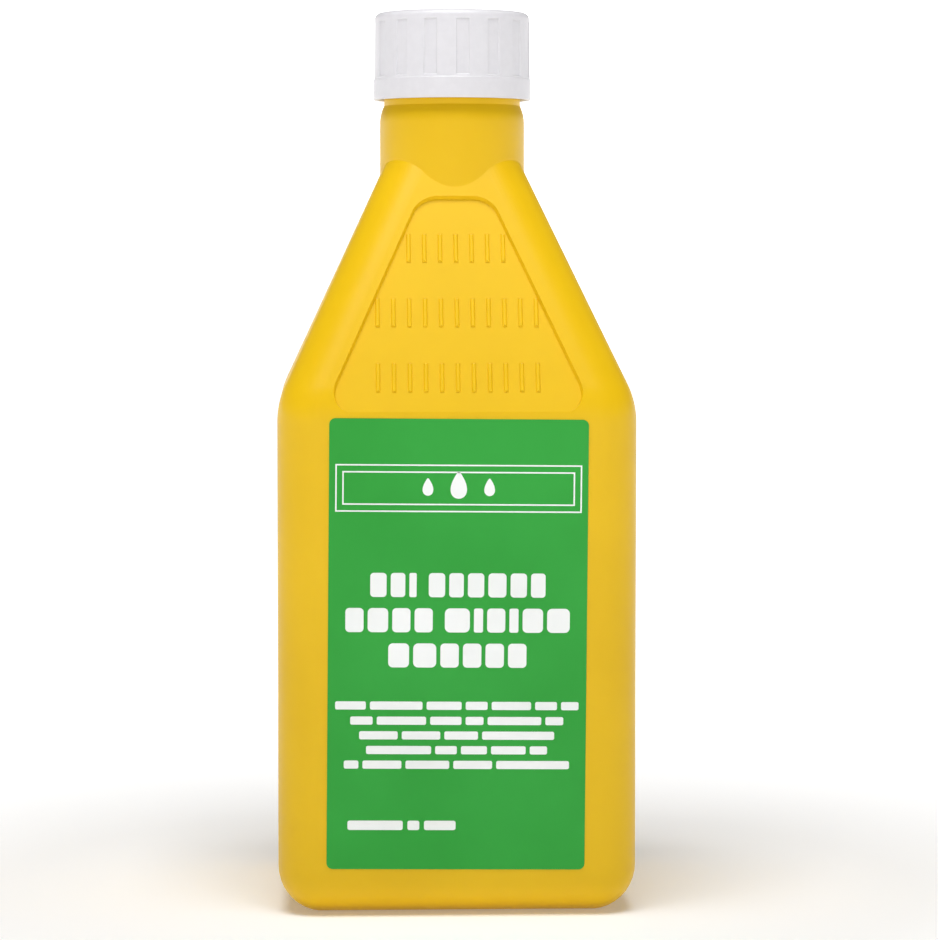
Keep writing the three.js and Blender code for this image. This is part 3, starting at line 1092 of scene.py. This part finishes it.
def blendColours(nodes, links, source, values, shader):
    ramp = nodes.new("ShaderNodeValToRGB")
    for i, colour in enumerate((values["dark"], values["light"])):
        ramp.color_ramp.elements[i].position = blendRange[i]
        ramp.color_ramp.elements[i].color = (*colour, 1)
    links.new(source, ramp.inputs["Fac"])
    links.new(ramp.outputs["Color"], shader.inputs["Base Color"])


def addBump(nodes, links, source, strength, distance, into, before=None):
    bump = nodes.new("ShaderNodeBump")
    bump.inputs["Strength"].default_value = strength
    bump.inputs["Distance"].default_value = distance
    links.new(source, bump.inputs["Height"])
    if before:
        links.new(before.outputs["Normal"], bump.inputs["Normal"])
    links.new(bump.outputs["Normal"], into.inputs["Normal"])
    return bump


def varyRoughness(nodes, links, source, low, high, shader):
    spread = nodes.new("ShaderNodeMapRange")
    spread.inputs["To Min"].default_value = low
    spread.inputs["To Max"].default_value = high
    links.new(source, spread.inputs["Value"])
    links.new(spread.outputs["Result"], shader.inputs["Roughness"])


# A noise is its scale, detail and sometimes roughness, and a bump its strength and distance
yellowPlastic = {
    "dark": (0.765, 0.470, 0.003),
    "light": (0.805, 0.500, 0.005),
    "cloud": (22, 3),
    "ripple": (120, 2),
    "grain": (900, 3, 0.6),
    "rippleBump": (0.10, 0.4 * mm),
    "grainBump": (0.16, 0.08 * mm),
    "roughness": (0.34, 0.46),
    "specular": 0.25,
    "subsurface": 0.06,
    "scatter": (1.0, 0.55, 0.15),
    "scatterScale": 1.5 * mm,
}
whitePlastic = {
    "dark": (0.685, 0.672, 0.700),
    "light": (0.705, 0.692, 0.720),
    "grain": (500, 3),
    "grainBump": (0.06, 0.05 * mm),
    "roughness": (0.30, 0.42),
    "subsurface": 0.1,
    "scatter": (1.0, 0.95, 0.9),
    "scatterScale": 1.2 * mm,
}
foam = {
    "dark": (0.80, 0.79, 0.76),
    "light": (0.9, 0.89, 0.86),
    "cells": (2400, 2, 0.7),
    "cellBump": (0.4, 0.1 * mm),
    "roughness": (0.8, 0.95),
}
greenFilm = {
    "dark": (0.020, 0.33, 0.032),
    "light": (0.026, 0.36, 0.040),
    "grain": (1500, 3),
    "roughness": (0.32, 0.42),
}
whiteInk = {
    "dark": (0.86, 0.88, 0.86),
    "light": (0.93, 0.94, 0.93),
    "grain": (3000, 3),
    "roughness": (0.35, 0.45),
}
filmCloud = (30, 2)
filmBump = (0.05, 0.03 * mm)
filmSpecular = 0.25


def addScatter(shader, values):
    shader.inputs["Subsurface Weight"].default_value = values["subsurface"]
    shader.inputs["Subsurface Radius"].default_value = values["scatter"]
    shader.inputs["Subsurface Scale"].default_value = values["scatterScale"]


def makeYellowPlastic():
    values = yellowPlastic
    material, nodes, links, shader = newMaterial("yellowPlastic")
    cloud = addNoise(nodes, links, *values["cloud"])
    blendColours(nodes, links, cloud.outputs["Fac"], values, shader)
    ripple = addNoise(nodes, links, *values["ripple"])
    grain = addNoise(nodes, links, *values["grain"])
    varyRoughness(nodes, links, grain.outputs["Fac"], *values["roughness"], shader)
    first = addBump(nodes, links, ripple.outputs["Fac"], *values["rippleBump"], shader)
    addBump(nodes, links, grain.outputs["Fac"], *values["grainBump"], shader, first)
    addScatter(shader, values)
    shader.inputs["Specular IOR Level"].default_value = values["specular"]
    return material


def makeWhitePlastic():
    values = whitePlastic
    material, nodes, links, shader = newMaterial("whitePlastic")
    grain = addNoise(nodes, links, *values["grain"])
    blendColours(nodes, links, grain.outputs["Fac"], values, shader)
    varyRoughness(nodes, links, grain.outputs["Fac"], *values["roughness"], shader)
    addBump(nodes, links, grain.outputs["Fac"], *values["grainBump"], shader)
    addScatter(shader, values)
    return material


def makeFoam():
    values = foam
    material, nodes, links, shader = newMaterial("linerFoam")
    cells = addNoise(nodes, links, *values["cells"])
    blendColours(nodes, links, cells.outputs["Fac"], values, shader)
    varyRoughness(nodes, links, cells.outputs["Fac"], *values["roughness"], shader)
    addBump(nodes, links, cells.outputs["Fac"], *values["cellBump"], shader)
    return material


def makeFilm(name, values):
    material, nodes, links, shader = newMaterial(name)
    grain = addNoise(nodes, links, *values["grain"])
    cloud = addNoise(nodes, links, *filmCloud)
    blendColours(nodes, links, cloud.outputs["Fac"], values, shader)
    varyRoughness(nodes, links, grain.outputs["Fac"], *values["roughness"], shader)
    addBump(nodes, links, grain.outputs["Fac"], *filmBump, shader)
    shader.inputs["Specular IOR Level"].default_value = filmSpecular
    return material


def finishWith(piece, material):
    piece.data.materials.clear()
    piece.data.materials.append(material)


finishWith(bottle, makeYellowPlastic())
finishWith(cap, makeWhitePlastic())
finishWith(liner, makeFoam())
finishWith(label, makeFilm("greenFilm", greenFilm))
finishWith(labelPrint, makeFilm("whiteInk", whiteInk))


# Floor, backdrop and light
print("studio")
studio = {
    "floorSize": 12.0,
    "wallHeight": 1.1,
    "sweepRadius": 0.5,
    "sweepSegments": 16,
    "shadeAngle": 60,
    "dark": (0.93, 0.93, 0.93),
    "light": (0.95, 0.95, 0.95),
    "paint": (3, 2),
    "roughness": 0.9,
    "world": 0.10,
    "glow": 0.97,  # of the far floor and the backdrop
    "nearGlow": 0.16,
    "glowStart": 0.12,
    "glowEnd": 0.45,
    "aim": (0, 0, 0.12),
}
# power, size and place of each light
softLights = {
    "topLight": (8.2, (0.6, 0.45), (-0.05, -0.27, 1.02)),
    "frontLight": (0.25, (0.8, 0.8), (-0.15, -1.2, 0.45)),
}


def makeSweep():
    # a floor that curves up into a low wall on every side
    bpy.ops.mesh.primitive_plane_add(size=studio["floorSize"], location=(0, 0, 0))
    sweep = newest("studioSweep")
    editing(sweep, "EDGE")
    selectAll()
    bpy.ops.mesh.extrude_edges_move(TRANSFORM_OT_translate={"value": (0, 0, studio["wallHeight"])})
    doneEditing()
    editing(sweep, "EDGE")
    pickEdges(sweep, lambda a, b: nearlyEqual(a.z, 0) and nearlyEqual(b.z, 0))
    roundEdges(studio["sweepRadius"], studio["sweepSegments"])
    doneEditing()
    smoothShade(sweep, studio["shadeAngle"])
    material, nodes, links, shader = newMaterial("studioWhite")
    paint = addNoise(nodes, links, *studio["paint"])
    blendColours(nodes, links, paint.outputs["Fac"], studio, shader)
    shader.inputs["Roughness"].default_value = studio["roughness"]
    shader.inputs["Emission Color"].default_value = (1, 1, 1, 1)
    place = nodes.new("ShaderNodeTexCoord")
    reach = nodes.new("ShaderNodeVectorMath")
    reach.operation = "LENGTH"
    links.new(place.outputs["Object"], reach.inputs[0])
    glow = nodes.new("ShaderNodeMapRange")
    glow.inputs["From Min"].default_value = studio["glowStart"]
    glow.inputs["From Max"].default_value = studio["glowEnd"]
    glow.inputs["To Min"].default_value = studio["nearGlow"]
    glow.inputs["To Max"].default_value = studio["glow"]
    links.new(reach.outputs["Value"], glow.inputs["Value"])
    links.new(glow.outputs["Result"], shader.inputs["Emission Strength"])
    finishWith(sweep, material)


def addSoftLight(name, power, size, place):
    deselectEverything()
    bpy.ops.object.light_add(type="AREA", location=place)
    light = bpy.context.object
    light.name = name
    light.data.shape = "RECTANGLE"
    light.data.size = size[0]
    light.data.size_y = size[1]
    light.data.energy = power
    light.rotation_euler = (Vector(place) - Vector(studio["aim"])).to_track_quat("Z", "Y").to_euler()


def lightStudio():
    world = bpy.data.worlds.new("studioWorld")
    world.use_nodes = True
    world.node_tree.nodes["Background"].inputs["Color"].default_value = (1, 1, 1, 1)
    world.node_tree.nodes["Background"].inputs["Strength"].default_value = studio["world"]
    bpy.context.scene.world = world
    for name, (power, size, place) in softLights.items():
        addSoftLight(name, power, size, place)


makeSweep()
lightStudio()
bpy.context.scene.view_settings.view_transform = "Standard"
